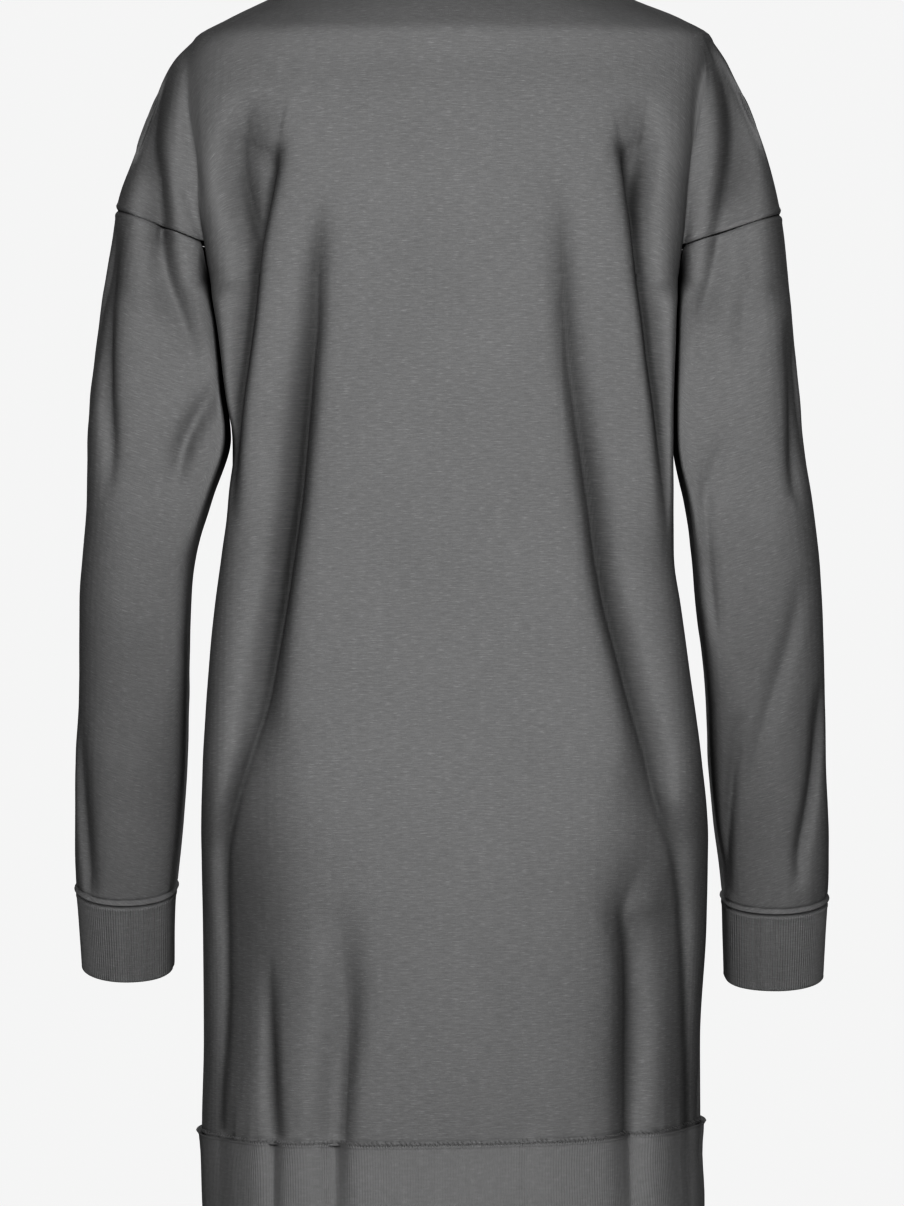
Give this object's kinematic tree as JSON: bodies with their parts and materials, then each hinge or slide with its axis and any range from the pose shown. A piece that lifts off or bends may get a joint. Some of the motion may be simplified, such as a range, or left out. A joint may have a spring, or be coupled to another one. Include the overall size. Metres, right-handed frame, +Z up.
{
  "type": "sweatshirt dress",
  "caption": "Hollow short sweatshirt dress with drop shoulders, long sleeves and ribbed neck, cuffs and hem, held in its worn shape.",
  "frame": {"origin": "middle of the neck opening at the height of the high shoulder points, where the wearer holds the dress up", "axes": "+Z up, +X towards the wearer's left, +Y towards the back"},
  "size_m": [0.5413, 0.2597, 0.9143],
  "materials": {
    "sweat_cloth": "matte melange knit",
    "rib": "matte rib knit"
  },
  "bodies": {
    "root": {"body_back": "sweat_cloth", "body_front": "sweat_cloth", "sleeve_left": "sweat_cloth", "sleeve_right": "sweat_cloth", "cuff_left": "rib", "cuff_right": "rib", "hem_band": "rib", "neckband": "rib"}
  },
  "joints": []
}
